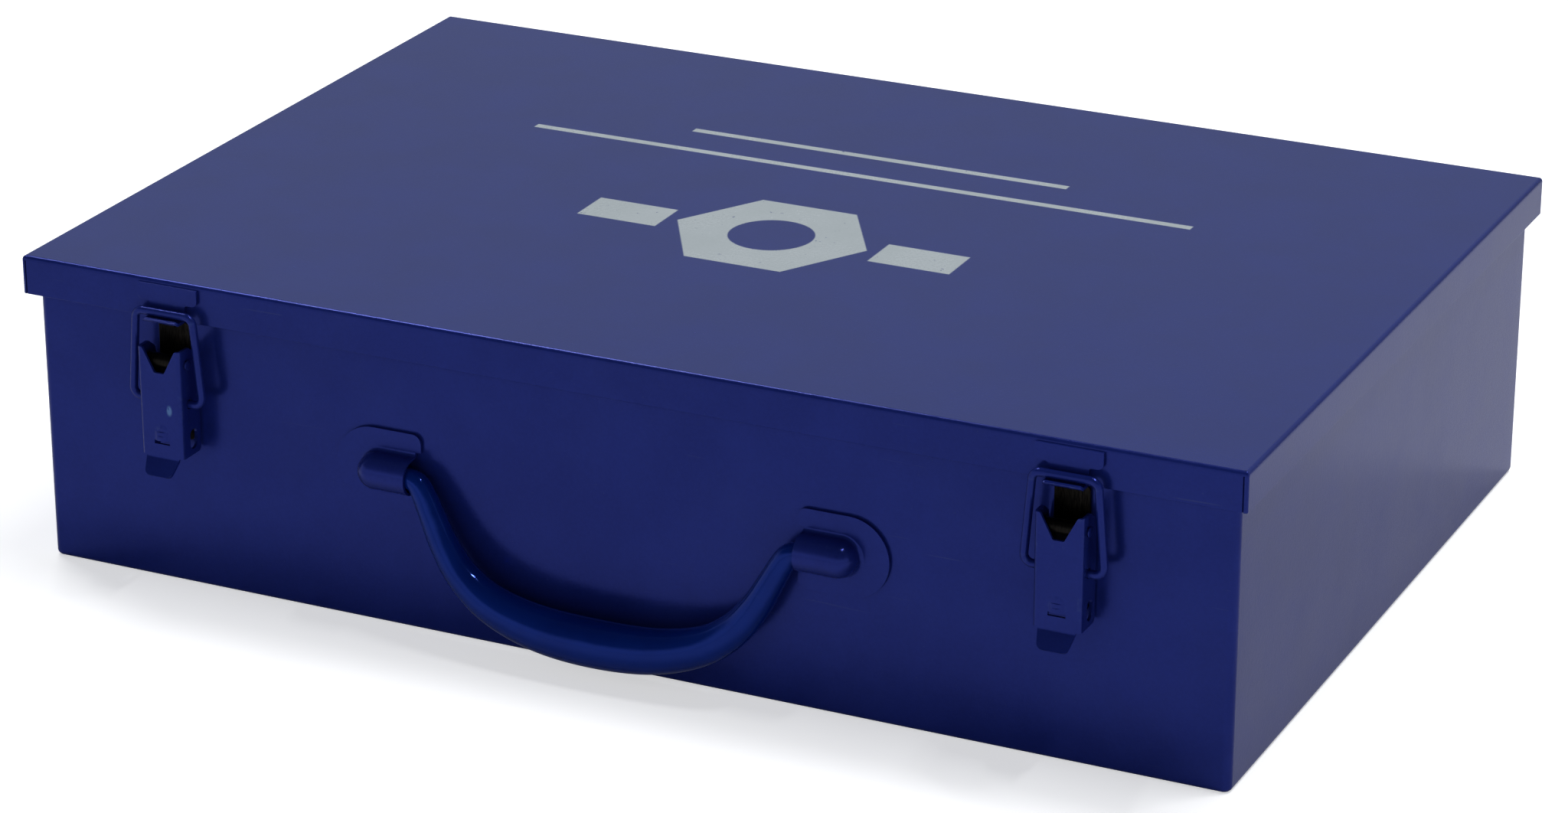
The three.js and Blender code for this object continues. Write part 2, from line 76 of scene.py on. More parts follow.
class Flow:
    # one shader socket, so that masks and mixes read as plain sums
    def __init__(self, tree, socket=None):
        self.tree = tree
        self.socket = socket

    def node(self, kind, settings=None, inputs=None, output=0):
        made = self.tree.nodes.new(kind)
        for name, value in (settings or {}).items():
            if name == "stops":
                ramp = made.color_ramp
                while len(ramp.elements) < len(value):
                    ramp.elements.new(0.5)
                for element, (place, colour) in zip(ramp.elements, value):
                    element.position = place
                    element.color = colour if len(colour) == 4 else (*colour, 1)
            else:
                setattr(made, name, value)
        for name, value in (inputs or {}).items():
            if isinstance(value, Flow):
                self.tree.links.new(value.socket, made.inputs[name])
            else:
                made.inputs[name].default_value = value
        return Flow(self.tree, made.outputs[output])

    def math(self, operation, first, second=0.0):
        return self.node("ShaderNodeMath", {"operation": operation}, {0: first, 1: second})

    def __add__(self, other):
        return self.math("ADD", self, other)

    def __radd__(self, other):
        return self.math("ADD", other, self)

    def __sub__(self, other):
        return self.math("SUBTRACT", self, other)

    def __rsub__(self, other):
        return self.math("SUBTRACT", other, self)

    def __mul__(self, other):
        return self.math("MULTIPLY", self, other)

    def __rmul__(self, other):
        return self.math("MULTIPLY", other, self)

    def bigger(self, other):
        return self.math("MAXIMUM", self, other)

    def smaller(self, other):
        return self.math("MINIMUM", self, other)

    def size(self):
        return self.math("ABSOLUTE", self)

    def step(self, low, high):
        # 0 below low, 1 above high, smooth between
        settings = {"interpolation_type": "SMOOTHSTEP"}
        return self.node(
            "ShaderNodeMapRange", settings, {"Value": self, "From Min": low, "From Max": high}
        )

    def split(self):
        parts = self.tree.nodes.new("ShaderNodeSeparateXYZ")
        self.tree.links.new(self.socket, parts.inputs[0])
        return [Flow(self.tree, parts.outputs[i]) for i in range(3)]

    def colour(self, first, second):
        # self is the factor between two colours
        mix = {"data_type": "RGBA", "blend_type": "MIX"}
        return self.node("ShaderNodeMix", mix, {0: self, 6: first, 7: second}, 2)

    def noise(self, place, scale, detail=3.0, rough=0.5):
        inputs = {"Vector": place, "Scale": scale, "Detail": detail, "Roughness": rough}
        return self.node("ShaderNodeTexNoise", None, inputs)

    def stretched(self, place, scale):
        settings = {"operation": "MULTIPLY"}
        return self.node("ShaderNodeVectorMath", settings, {0: place, 1: scale})

    def place(self):
        return self.node("ShaderNodeTexCoord", output=3)

    def worn(self):
        return self.node("ShaderNodeAttribute", {"attribute_name": "sheetEdge"}, output=2)


def newMaterial(name, fixed):
    # an empty Principled material; fixed are the values that are the same all over
    material = bpy.data.materials.new(name)
    material.use_nodes = True
    tree = material.node_tree
    shader = tree.nodes["Principled BSDF"]
    for socket, value in fixed.items():
        shader.inputs[socket].default_value = value
    return material, tree, shader, Flow(tree)


def wire(tree, flow, shader, name):
    tree.links.new(flow.socket, shader.inputs[name])


def bump(flow, height, strength, distance):
    inputs = {"Strength": strength, "Distance": distance, "Height": height}
    return flow.node("ShaderNodeBump", None, inputs)


enamel = {
    "deep": (0.0095, 0.0190, 0.160, 1),
    "pale": (0.0120, 0.0235, 0.188, 1),
    "dust": (0.060, 0.080, 0.17, 1),
    "bare": (0.040, 0.065, 0.21, 1),
    "roughness": 0.13,
    "ior": 1.27,
    "flake": 0.45,
    "peelScale": 900.0,
    "peelHeight": 0.00012,
    "scuff": (0.10, 0.20, 0.42, 1),
    "inkDeep": (0.36, 0.40, 0.41, 1),
    "inkPale": (0.40, 0.44, 0.455, 1),
}

# generic print on the lid, in millimetres from the lid's middle
printed = {
    "nutCentre": (0.0, -22.0),
    "nutFlat": 31.0,
    "nutHole": 15.0,
    "barInner": 40.0,
    "barOuter": 70.0,
    "barHalf": 9.0,
    "stripes": ((46.0, 127.0, 1.7), (66.0, 73.0, 1.7)),
    "blur": 0.3,
    # how far under the lid's top the ink starts and is full
    "depth": (0.5, 0.2),
}


def printMask(flow, place):
    # a hexagon nut between two bars, with two stripes behind it
    x, y, z = place.split()
    x = x * (1 / mm)
    y = y * (1 / mm)
    nutX, nutY = printed["nutCentre"]
    dx = x - nutX
    dy = y - nutY
    slant = 0.5 * dy.size() + math.sqrt(0.75) * dx.size()

    def past(distance, edge):
        return distance.step(edge - printed["blur"], edge + printed["blur"])

    hexagon = 1 - past(slant.bigger(dy.size()), printed["nutFlat"])
    away = flow.math("SQRT", dx * dx + dy * dy)
    hole = past(away, printed["nutHole"])
    long = dx.size()
    barEnds = past(long, printed["barInner"]) * (1 - past(long, printed["barOuter"]))
    bars = barEnds * (1 - past(dy.size(), printed["barHalf"]))
    mask = (hexagon * hole).bigger(bars)
    for stripeY, half, thick in printed["stripes"]:
        across = 1 - past((y - stripeY).size(), thick)
        mask = mask.bigger(across * (1 - past(long, half)))
    start, full = printed["depth"]
    return mask * z.step((lidHigh.z - start) * mm, (lidHigh.z - full) * mm)


def enamelMaterial(name, withPrint=False, scuffAt=None):
    fixed = {"IOR": enamel["ior"], "Metallic": enamel["flake"]}
    material, tree, shader, flow = newMaterial(name, fixed)
    place = flow.place()
    cloud = flow.noise(place, 38.0, 4.0, 0.6)
    fine = flow.noise(place, 900.0, 2.0, 0.6)
    tone = (cloud.step(0.3, 0.7) * 0.65 + fine.step(0.35, 0.65) * 0.35).smaller(1.0)
    base = tone.colour(enamel["deep"], enamel["pale"])
    # paint pulls thin over the sheet's edges and is rubbed there
    rub = flow.worn() * flow.noise(place, 260.0, 3.0, 0.7).step(0.52, 0.72)
    base = (rub * 0.4).colour(base, enamel["bare"])
    # settled dust, in grains and in a thin patchy film
    specks = flow.noise(place, 1500.0, 1.0).step(0.73, 0.80)
    film = flow.noise(place, 14.0, 5.0, 0.65).step(0.45, 0.75)
    dust = (specks * 0.28 + film * 0.035).smaller(1.0)
    base = dust.colour(base, enamel["dust"])
    # a few hairline rubs that run along the case
    line = flow.noise(flow.stretched(place, (22.0, 900.0, 900.0)), 1.0, 2.0, 0.5).step(0.735, 0.75)
    patch = flow.noise(place, 7.0, 2.0).step(0.52, 0.62)
    hairline = line * patch
    base = (hairline * 0.22).colour(base, enamel["dust"])
    if scuffAt:
        x, _, z = place.split()
        dx = (x - scuffAt[0] * mm) * (1 / mm)
        dz = (z - scuffAt[2] * mm) * (1 / mm)
        spot = 1 - flow.math("SQRT", dx * dx * 1.6 + dz * dz * 0.5).step(0.6, 1.7)
        spot = spot * flow.noise(place, 1100.0, 2.0).step(0.38, 0.5)
        base = (spot * 0.8).colour(base, enamel["scuff"])
    roughness = enamel["roughness"] + cloud * 0.10 + film * 0.05 + fine * 0.05
    if withPrint:
        mask = printMask(flow, place)
        wear = flow.noise(place, 420.0, 3.0, 0.7).step(0.27, 0.33)
        mask = mask * (0.25 + wear * 0.75)
        ink = tone.colour(enamel["inkDeep"], enamel["inkPale"])
        base = mask.colour(base, ink)
        roughness = roughness + mask * 0.06
        wire(tree, (1 - mask) * enamel["flake"], shader, "Metallic")
    wire(tree, base, shader, "Base Color")
    wire(tree, roughness, shader, "Roughness")
    peel = flow.noise(place, enamel["peelScale"], 2.0, 0.5) + specks * 0.5
    wire(tree, bump(flow, peel, 0.25, enamel["peelHeight"]), shader, "Normal")
    return material


grip = {
    "deep": (0.0004, 0.0150, 0.160, 1),
    "pale": (0.0008, 0.0190, 0.190, 1),
    "scratch": (0.02, 0.045, 0.20, 1),
    "ior": 1.3,
    "flake": 0.45,
    "roughness": 0.07,
}


def gripMaterial(name):
    # dipped gloss coat, slightly uneven, with handling marks
    material, tree, shader, flow = newMaterial(name, {"IOR": grip["ior"], "Metallic": grip["flake"]})
    place = flow.place()
    cloud = flow.noise(place, 55.0, 3.0)
    base = cloud.step(0.3, 0.7).colour(grip["deep"], grip["pale"])
    rub = flow.noise(flow.stretched(place, (60.0, 420.0, 420.0)), 1.0, 3.0, 0.6).step(0.66, 0.72)
    base = (rub * 0.25).colour(base, grip["scratch"])
    wire(tree, base, shader, "Base Color")
    wire(tree, grip["roughness"] + cloud * 0.05 + rub * 0.12, shader, "Roughness")
    height = flow.noise(place, 120.0, 2.0) + flow.noise(place, 700.0, 1.0) * 0.12
    wire(tree, bump(flow, height, 0.18, 0.0006), shader, "Normal")
    return material


def steelMaterial(name, dark, pale, stain, roughness, grain):
    # rolled or plated steel: directional grain, patchy stains, brighter on the rubbed edges
    material, tree, shader, flow = newMaterial(name, {"Metallic": 1.0})
    place = flow.place()
    streak = flow.noise(flow.stretched(place, grain), 1.0, 3.0, 0.6)
    cloud = flow.noise(place, 160.0, 4.0, 0.6)
    base = streak.step(0.3, 0.7).colour(dark, pale)
    base = (cloud.step(0.50, 0.68) * 0.7).colour(base, stain)
    base = (flow.worn() * 0.35).colour(base, pale)
    wire(tree, base, shader, "Base Color")
    wire(tree, roughness + cloud * 0.2 - streak * 0.08, shader, "Roughness")
    height = streak + cloud * 0.4
    wire(tree, bump(flow, height, 0.25, 0.0003), shader, "Normal")
    return material


bluePaint = enamelMaterial("blue enamel")
lidPaint = enamelMaterial("blue enamel, printed lid", withPrint=True)
handleGloss = gripMaterial("handle gloss")
# near-black steel for the latch bases: partly their own dark unpainted steel, partly painted shade,
# as the colour is darkened to the deep shade round the latch
darkSteelPaintedShade = steelMaterial(
    "dark spring steel with painted shade",
    (0.003, 0.003, 0.003, 1),
    (0.016, 0.014, 0.012, 1),
    (0.012, 0.007, 0.005, 1),
    0.30,
    (2400.0, 300.0, 300.0),
)
platedSteel = steelMaterial(
    "plated steel",
    (0.33, 0.33, 0.34, 1),
    (0.60, 0.60, 0.61, 1),
    (0.24, 0.22, 0.19, 1),
    0.26,
    (500.0, 500.0, 500.0),
)
print("materials made")


def vec(x, y, z):
    return Vector((x, y, z)) * mm


def sweep(angle, steps):
    # even angles from nothing up to angle
    return [angle * k / steps for k in range(steps + 1)]


def rounded(points, radius, steps=5, closed=True):
    # fillets the corners of a line or loop of 2D points; radius is a number or one for each point
    radii = radius if isinstance(radius, (list, tuple)) else [radius] * len(points)
    points = [Vector(p) for p in points]
    result = []
    last = len(points) - 1
    for i, corner in enumerate(points):
        if not closed and i in (0, last):
            result.append(corner)
            continue
        back = points[i - 1] - corner
        ahead = points[(i + 1) % len(points)] - corner
        turn = math.pi - back.angle(ahead)
        reach = radii[i] * math.tan(turn / 2)
        reach = min(reach, back.length * 0.49, ahead.length * 0.49)
        if turn < 0.02 or reach < 1e-3:
            result.append(corner)
            continue
        start = corner + back.normalized() * reach
        end = corner + ahead.normalized() * reach
        true = reach / math.tan(turn / 2)
        inward = (back.normalized() + ahead.normalized()).normalized()
        centre = corner + inward * math.hypot(true, reach)
        for angle in sweep(turn, steps):
            first = (start - centre).normalized()
            other = (end - centre) - first * (end - centre).dot(first)
            other.normalize()
            ray = first * math.cos(angle) + other * math.sin(angle)
            result.append(centre + ray * true)
    return result


class BentLine:
    # a line of 2D points with rounded bends, read by the distance along it
    def __init__(self, points, radius, steps=6):
        self.points = rounded(points, radius, steps, closed=False)
        self.marks = [0.0]
        for a, b in zip(self.points, self.points[1:]):
            self.marks.append(self.marks[-1] + (b - a).length)
        self.length = self.marks[-1]

    def at(self, distance):
        marks = self.marks
        for i in range(1, len(marks)):
            if distance <= marks[i] or i == len(marks) - 1:
                share = (distance - marks[i - 1]) / max(marks[i] - marks[i - 1], 1e-9)
                return self.points[i - 1].lerp(self.points[i], share)
        return self.points[-1]


def insideLoop(point, loop):
    x, y = point
    inside = False
    for a, b in zip(loop, loop[1:] + loop[:1]):
        if (a[1] > y) != (b[1] > y) and x < (b[0] - a[0]) * (y - a[1]) / (b[1] - a[1]) + a[0]:
            inside = not inside
    return inside


def link(name, bm):
    mesh = bpy.data.meshes.new(name)
    bm.to_mesh(mesh)
    bm.free()
    made = bpy.data.objects.new(name, mesh)
    scene.collection.objects.link(made)
    return made


def settle(made, material, sharp=38):
    # applies the modifiers, marks thin edge strips for the wear, and sets the smooth shading
    dg = bpy.context.evaluated_depsgraph_get()
    mesh = bpy.data.meshes.new_from_object(made.evaluated_get(dg))
    old = made.data
    made.modifiers.clear()
    made.data = mesh
    bpy.data.meshes.remove(old)
    mesh.name = made.name
    mesh.materials.clear()
    mesh.materials.append(material)
    bm = bmesh.new()
    bm.from_mesh(mesh)
    bmesh.ops.remove_doubles(bm, verts=bm.verts, dist=2e-7)
    layer = bm.faces.layers.float.new("sheetEdge")
    for face in bm.faces:
        face.smooth = True
        border = sum(e.calc_length() for e in face.edges)
        thin = face.calc_area() / max(border, 1e-9) < 0.00014
        turned = any(len(e.link_faces) == 2 and e.calc_face_angle(0) > 0.2 for e in face.edges)
        face[layer] = 1.0 if thin and turned else 0.0
    bm.to_mesh(mesh)
    bm.free()
    mesh.set_sharp_from_angle(angle=math.radians(sharp))
    weighted = made.modifiers.new("even shading", "WEIGHTED_NORMAL")
    weighted.keep_sharp = True
    return made


softEdge = 0.22  # how far a sheet's cut edges are eased


def thicken(piece, thickness, ease, corner, even=False):
    solid = piece.modifiers.new("sheet", "SOLIDIFY")
    solid.thickness = thickness * mm
    solid.offset = -1
    solid.use_even_offset = even
    soft = piece.modifiers.new("edges", "BEVEL")
    soft.width = ease * mm
    soft.segments = 2
    soft.limit_method = "ANGLE"
    soft.angle_limit = math.radians(corner)
    return piece


def fromSheet(name, outline, holes, folds, place, thickness, flip=False, extra=()):
    # Cuts a flat blank, folds it by place(u, v), and gives it thickness and softened edges.
    loops = [list(outline), *[list(h) for h in holes], *[list(e) for e in extra]]
    coords, edges = [], []
    for loop in loops:
        first = len(coords)
        coords += [Vector(p[:2]) for p in loop]
        edges += [(first + i, first + (i + 1) % len(loop)) for i in range(len(loop))]
    for a, b in folds:
        coords += [Vector(a), Vector(b)]
        edges.append((len(coords) - 2, len(coords) - 1))
    flat, _, faces, _, _, _ = delaunay_2d_cdt(coords, edges, [], 0, 1e-5)
    bm = bmesh.new()
    made = {}
    for face in faces:
        middle = sum((flat[i] for i in face), Vector((0, 0))) / len(face)
        if not insideLoop(middle, loops[0]):
            continue
        if any(insideLoop(middle, hole) for hole in loops[1 : 1 + len(holes)]):
            continue
        for i in face:
            if i not in made:
                made[i] = bm.verts.new(place(*flat[i]))
        try:
            bm.faces.new([made[i] for i in (reversed(face) if flip else face)])
        except ValueError:
            continue
    bmesh.ops.dissolve_limit(bm, angle_limit=math.radians(0.4), verts=bm.verts, edges=bm.edges)
    piece = link(name, bm)
    return thicken(piece, thickness, softEdge, 50, True)


def turned(name, profile, origin, axis, segments=32):
    # a lathe piece: (distance along the axis, radius) pairs in millimetres
    axis = Vector(axis).normalized()
    aside = axis.orthogonal().normalized()
    other = axis.cross(aside)
    bm = bmesh.new()
    rings = []
    for along, radius in profile:
        centre = Vector(origin) * mm + axis * along * mm
        if radius < 1e-6:
            rings.append([bm.verts.new(centre)])
            continue
        ring = []
        for angle in sweep(2 * math.pi, segments)[:-1]:
            ray = aside * math.cos(angle) + other * math.sin(angle)
            ring.append(bm.verts.new(centre + ray * radius * mm))
        rings.append(ring)
    for a, b in zip(rings, rings[1:]):
        for k in range(segments):
            n = (k + 1) % segments
            corners = [a[k % len(a)], a[n % len(a)], b[n % len(b)], b[k % len(b)]]
            unique = list(dict.fromkeys(corners))
            if len(unique) > 2:
                bm.faces.new(unique)
    for ring in (rings[0], rings[-1]):
        if len(ring) > 1:
            bm.faces.new(ring)
    bmesh.ops.recalc_face_normals(bm, faces=bm.faces)
    return link(name, bm)


def tube(name, centres, radii, segments=24):
    # a round bar along smooth points, with its own thickness at each
    bm = bmesh.new()
    rings = []
    count = len(centres)
    frameUp = None
    for i, centre in enumerate(centres):
        along = (centres[min(i + 1, count - 1)] - centres[max(i - 1, 0)]).normalized()
        if frameUp is None:
            frameUp = along.orthogonal().normalized()
        frameUp = (frameUp - along * frameUp.dot(along)).normalized()
        side = along.cross(frameUp)
        ring = []
        for angle in sweep(2 * math.pi, segments)[:-1]:
            ray = frameUp * math.cos(angle) + side * math.sin(angle)
            ring.append(bm.verts.new(centre + ray * radii[i]))
        rings.append(ring)
    for a, b in zip(rings, rings[1:]):
        for k in range(segments):
            n = (k + 1) % segments
            bm.faces.new([a[k], a[n], b[n], b[k]])
    for ring in (rings[0], rings[-1]):
        bm.faces.new(ring)
    bmesh.ops.recalc_face_normals(bm, faces=bm.faces)
    return link(name, bm)


def joined(name, *objects):
    # puts several finished solids into one mesh
    bm = bmesh.new()
    for one in objects:
        dg = bpy.context.evaluated_depsgraph_get()
        mesh = bpy.data.meshes.new_from_object(one.evaluated_get(dg))
        bm.from_mesh(mesh)
        bpy.data.meshes.remove(mesh)
    for one in objects:
        old = one.data
        bpy.data.objects.remove(one)
        bpy.data.meshes.remove(old)
    return link(name, bm)


def deliver(piece, node, body):
    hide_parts(node)
    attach(piece, body)
    return piece


tray = {
    "sheet": 1.0,
    "corner": 3.0,
    "bend": 2.0,
    "rimBend": 1.2,
    "rim": 8.0,
}
lid = {
    "sheet": 1.0,
    "bend": 1.5,
    "corner": 1.0,
    "seamFromEnd": 1.5,
    "seamWidth": 0.5,
    "seamDepth": 0.8,
}


def planRing(halfX, halfY, radius, z, notch=0.0, seams=(), steps=6):
    # one loop of a pan's plan: a rounded rectangle with optional grooves in its front and rear
    ring = []
    straightX = [-0.97, -0.75, -0.5, -0.25, 0, 0.25, 0.5, 0.75, 0.97]
    corners = [(1, 1), (-1, 1), (-1, -1), (1, -1)]
    for index, (sx, sy) in enumerate(corners):
        cx, cy = sx * (halfX - radius), sy * (halfY - radius)
        for k in range(steps + 1):
            angle = math.pi / 2 * (index + k / steps)
            ring.append((cx + radius * math.cos(angle), cy + radius * math.sin(angle), z))
        if index in (0, 2):
            way = -1 if index == 0 else 1
            stops = []
            for place, half in seams:
                for step, deep in ((-half, 0), (-half * 0.8, 1), (half * 0.8, 1), (half, 0)):
                    stops += [(place + step, deep), (-place - step, deep)]
            stops += [(share * (halfX - 8), 0) for share in straightX]
            for x, deep in sorted(stops, key=lambda s: way * s[0]):
                ring.append((x, sy * (halfY - deep * notch), z))
        else:
            for share in straightX:
                way = -1 if index == 1 else 1
                ring.append((sx * halfX, way * share * (halfY - 8), z))
    return ring


def ringStack(name, rings):
    bm = bmesh.new()
    made = [[bm.verts.new(vec(*p)) for p in ring] for ring in rings]
    count = len(made[0])
    for a, b in zip(made, made[1:]):
        for k in range(count):
            n = (k + 1) % count
            bm.faces.new([a[k], a[n], b[n], b[k]])
    bm.faces.new(made[0])
    bm.faces.new(made[-1])
    bmesh.ops.recalc_face_normals(bm, faces=bm.faces)
    return link(name, bm)


def quarter(radius, steps=5):
    # (inset, drop) pairs round a bend, from the flat to the wall
    turns = sweep(math.pi / 2, steps)
    return [(radius * (1 - math.sin(t)), radius * (1 - math.cos(t))) for t in turns]


def buildTray():
    halfX = (trayHigh.x - trayLow.x) / 2
    halfY = (trayHigh.y - trayLow.y) / 2
    top, sheet = trayHigh.z, tray["sheet"]
    rings = []

    def ring(inset, z, radius=None):
        if radius is None:
            radius = max(tray["corner"] - inset, 0.5)
        rings.append(planRing(halfX - inset, halfY - inset, radius, z))

    for inset, rise in quarter(tray["bend"]):
        ring(inset, rise)
    for inset, drop in reversed(quarter(tray["rimBend"])):
        ring(inset, top - drop)
    lip = sheet + tray["rim"]
    for inset, z in ((lip - 0.35, top), (lip - 0.1, top - 0.1), (lip, top - 0.35)):
        ring(inset, z, tray["corner"])
    for inset, z in ((lip, top - 0.65), (lip - 0.1, top - 0.9), (lip - 0.35, top - sheet)):
        ring(inset, z, tray["corner"])
    ring(sheet + 0.6, top - sheet)
    ring(sheet, top - sheet - 0.6)
    for inset, rise in reversed(quarter(tray["bend"] - sheet)):
        ring(sheet + inset, sheet + rise)
    made = settle(ringStack("caseTray", rings), bluePaint, 50)
    return deliver(made, "case_tray", "case")


def buildLid():
    halfX = (lidHigh.x - lidLow.x) / 2
    halfY = (lidHigh.y - lidLow.y) / 2
    top, bottom, sheet = lidHigh.z, lidLow.z, lid["sheet"]
    seams = [(halfX - lid["seamFromEnd"], lid["seamWidth"] / 2)]
    rings = []

    def ring(inset, z, notch=0.0, radius=None):
        if radius is None:
            radius = max(lid["corner"] - inset, 0.35)
        rings.append(planRing(halfX - inset, halfY - inset, radius, z, notch, seams))

    bend = quarter(lid["bend"], 6)
    for inset, drop in bend[:-1]:
        ring(inset, top - drop)
    ring(0, top - lid["bend"])
    ring(0, top - lid["bend"] - 0.3, lid["seamDepth"])
    ring(0, bottom + 0.25, lid["seamDepth"])
    ring(0.08, bottom + 0.07, lid["seamDepth"] - 0.1)
    ring(0.25, bottom, 0.5)
    ring(sheet - 0.25, bottom)
    ring(sheet - 0.07, bottom + 0.07)
    ring(sheet, bottom + 0.25)
    ring(sheet, top - sheet - 0.8)
    ring(sheet + 0.25, top - sheet - 0.25)
    ring(sheet + 0.8, top - sheet)
    made = settle(ringStack("lidPan", rings), lidPaint, 50)
    return deliver(made, "lid_pan", "lid")


buildTray()
buildLid()
print("tray and lid built")


latch = {
    "sheet": 1.0,
    "width": 16.5,
    "face": 12.0,
    "back": 0.9,
    "fold": 1.5,
    "top": 89.5,
    "bottom": 51.0,
    "notchBottom": 81.0,
    "notchHalf": (1.9, 6.3),
    "pivot": (7.9, 84.0),
    "bailPivot": (7.0, 69.6),
    "bailTop": (7.2, 100.8),
    "wire": 1.4,
    "bailHalfTop": 10.9,
    "bailHalfFoot": 13.6,
    "tabHalf": (5.0, 6.4),
    "tabReach": 4.0,
    "tabEnd": 45.4,
    "snapTop": 60.0,
    "snapHalf": 3.0,
    "snapBottom": 56.8,
    "slotHeight": 1.4,
    "sideSlot": (3.2, 7.4, 2.0, 9.0),
    "slotCorner": 1.8,
    "tabCorner": 1.8,
    "pin": 1.2,
    "pinHole": 1.5,
    "wireHole": 1.7,
    "snapHeight": 0.75,
    # a flange's edge from its foot up: out of the wall, up the blank, fillet
    "flank": (
        (1.7, 0.0, 1.2),
        (0.9, 1.0, 0.8),
        (0.9, 21.0, 3),
        (1.2, 32.0, 2),
        (2.4, 35.6, 2),
        (6.0, 38.5, 1.5),
    ),
}


def circleLoop(x, y, radius, steps=20):
    turns = sweep(2 * math.pi, steps)[:-1]
    return [(x + radius * math.cos(t), y + radius * math.sin(t)) for t in turns]


def buildLever(side):
    middle = middleOf(side + "_latch_lever").x
    spec = latch
    half = spec["width"] / 2
    plan = BentLine(
        [
            (-half, spec["back"]),
            (-half, spec["face"]),
            (half, spec["face"]),
            (half, spec["back"]),
        ],
        spec["fold"],
    )
    mid = plan.length / 2
    tabLine = BentLine(
        [(0, 120), (0, spec["bottom"] - 0.4), (spec["tabReach"], spec["tabEnd"])], 1.6
    )
    reach = 120 - spec["bottom"]

    def edge(out):
        # how far across the blank a point of the flange lies
        return mid - (out - spec["back"])

    tabFoot = -(tabLine.length - reach)
    flank = spec["flank"]
    rightSide = [
        (edge(11.0) - 0.6, 0.0),
        *[(edge(out), up) for out, up, _ in flank],
        (spec["notchHalf"][1], flank[-1][1]),
        (spec["notchHalf"][0], spec["notchBottom"] - spec["bottom"]),
    ]
    rightRadii = [0.3, *[fillet for _, _, fillet in flank], 0.6, 0.7]
    tabSide = [(spec["tabHalf"][0], tabFoot), (spec["tabHalf"][1], 0.0)]
    tabRadii = [spec["tabCorner"], 0.4]
    # the whole blank, anticlockwise from the tab's left foot
    points = [(-x, y) for x, y in tabSide[:1]] + tabSide + rightSide
    points += [(-x, y) for x, y in reversed(rightSide)] + [(-x, y) for x, y in reversed(tabSide)][:-1]
    radii = tabRadii[:1] + tabRadii + rightRadii + rightRadii[::-1] + tabRadii[::-1][:-1]
    outline = rounded(points, radii, 4)
    pinHole, wireHole, slotHole = [], [], []
    for way in (-1, 1):
        for holes, size, (out, z) in (
            (pinHole, spec["pinHole"], spec["pivot"]),
            (wireHole, spec["wireHole"], spec["bailPivot"]),
        ):
            holes.append(circleLoop(way * edge(out), z - spec["bottom"], size))
        slotFrom, slotTo, low, high = spec["sideSlot"]
        far, near = sorted((way * edge(slotTo), way * edge(slotFrom)))
        corners = [(far, low), (near, low), (near, high), (far, high)]
        slotHole.append(rounded(corners, spec["slotCorner"], 6))
    snapLow = spec["snapBottom"] - spec["bottom"]
    arcCentre = spec["snapTop"] - spec["bottom"]
    wide = spec["snapHalf"]
    slotTop = [(wide - 2 * wide * k / 10, snapLow) for k in range(11)]
    slotLow = snapLow - spec["slotHeight"]
    snapSlot = [(-wide, slotLow), (wide, slotLow), *slotTop]
    rings = []
    for share in (1.0, 0.86, 0.7, 0.5, 0.25):
        arc = [
            (
                wide * share * math.cos(math.pi * k / 14),
                snapLow + 0.02 + (arcCentre - snapLow + wide * math.sin(math.pi * k / 14)) * share,
            )
            for k in range(15)
        ]
        rings.append(arc)
    folds = []
    for mark in plan.marks[1:-1]:
        folds.append(((mark - mid, -20), (mark - mid, 60)))
    for mark in tabLine.marks[1:-1]:
        folds.append(((-8, reach - mark), (8, reach - mark)))

    def place(u, v):
        x, out = plan.at(min(max(u + mid, 0), plan.length))
        bent = tabLine.at(reach - v)
        rise = 0.0
        if abs(u) <= wide + 1e-4 and v >= snapLow - 1e-4:
            tall = arcCentre - snapLow + wide
            away = math.hypot(u / wide, max(v - snapLow, 0) / tall)
            rise = spec["snapHeight"] * max(0.0, 1 - away**2.2)
        z = spec["bottom"] + v if v > 0 else bent[1]
        push = bent[0] if v < 2 else 0.0
        return vec(middle + x, frontWall - out - push - rise, z)

    piece = fromSheet(
        side + "LatchLever",
        outline,
        [*pinHole, *wireHole, *slotHole, snapSlot],
        folds,
        place,
        spec["sheet"],
        extra=rings,
    )
    paint = leverPaint if side == "left" else bluePaint
    return deliver(settle(piece, paint), side + "_latch_lever", side + "_lever")


leverScuff = (middleOf("left_latch_lever").x + 3.4, frontWall - 12, 68.0)
leverPaint = enamelMaterial("blue enamel, scuffed lever", scuffAt=leverScuff)


def buildBail(side):
    middle = middleOf(side + "_latch_bail").x
    spec = latch
    footX, topX = spec["bailHalfFoot"], spec["bailHalfTop"]
    endX = spec["width"] / 2 - spec["sheet"] - 0.8

    def at(x, pair):
        return Vector((middle + x, frontWall - pair[0], pair[1]))

    rough = []
    for way in (-1, 1):
        half = [
            at(way * endX, spec["bailPivot"]),
            at(way * footX, spec["bailPivot"]),
            at(way * topX, spec["bailTop"]),
        ]
        rough += half if way < 0 else half[::-1]
    centres = roundedWire(rough, 3.0, 8)
    radii = [spec["wire"] * mm] * len(centres)
    piece = tube(side + "LatchBail", [c * mm for c in centres], radii, 20)
    return deliver(settle(piece, bluePaint, 60), side + "_latch_bail", side + "_bail")


def roundedWire(points, radius, steps):
    # fillets a 3D line's corners
    result = [points[0]]
    for before, corner, after in zip(points, points[1:], points[2:]):
        back, ahead = (before - corner).normalized(), (after - corner).normalized()
        turn = math.pi - back.angle(ahead)
        reach = radius * math.tan(turn / 2)
        centre = corner + (back + ahead).normalized() * math.hypot(radius, reach)
        first = (corner + back * reach - centre).normalized()
        end = corner + ahead * reach - centre
        other = (end - first * end.dot(first)).normalized()
        for angle in sweep(turn, steps):
            result.append(centre + (first * math.cos(angle) + other * math.sin(angle)) * radius)
    result.append(points[-1])
    return result


